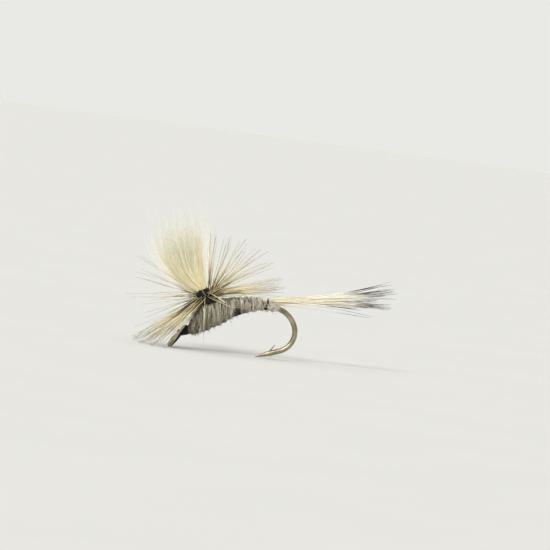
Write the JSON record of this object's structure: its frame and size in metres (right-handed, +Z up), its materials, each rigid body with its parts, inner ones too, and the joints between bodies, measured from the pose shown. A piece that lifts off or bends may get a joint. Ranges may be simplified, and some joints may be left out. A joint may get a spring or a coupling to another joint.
{
  "type": "parachute dry fly",
  "caption": "Parachute dry fly on a bronzed down-eye hook, with an upright cream wing, a straw hackle wound flat round it, a grey fur body and a cream tail with dark tips.",
  "frame": {"origin": "centre of the hole in the hook's eye", "axes": "+X towards the tail, +Z up with the fly standing on its eye and its point, +Y to the fly's right side seen from its eye"},
  "size_m": [0.024, 0.0142, 0.0138],
  "materials": {
    "bronze_wire": "bronzed, satin, darker underneath",
    "black_thread": "waxed thread, slightly glossy",
    "tail_hair": "stiff cream fibres with dark grey tips",
    "cream_hair": "soft crinkled hair, ivory",
    "feather_quill": "smooth pale quill",
    "feather_barbs": "glossy straw barbs, some dark at the root",
    "grey_fur": "twisted grey underfur, fuzzy",
    "pale_fur": "loose pale grey underfur",
    "clear_lacquer": "thin clear film over black thread"
  },
  "bodies": {
    "root": {"hook": "bronze_wire", "thread_base": "black_thread", "tail_fibres": "tail_hair", "tail_lashing": "black_thread", "wing_post": "cream_hair", "post_butt_lashing": "black_thread", "post_dam_wraps": "black_thread", "post_base_wraps": "black_thread", "hackle_stem_coil": "feather_quill", "hackle_stem_butt": "feather_quill", "hackle_barbs": "feather_barbs", "hackle_tie_off": "black_thread", "abdomen_dubbing": "grey_fur", "thorax_dubbing": "grey_fur", "rear_thread_turns": "black_thread", "rump_dubbing": "pale_fur", "head_wraps": "black_thread", "whip_finish": "black_thread", "head_cement": "clear_lacquer"}
  },
  "joints": []
}
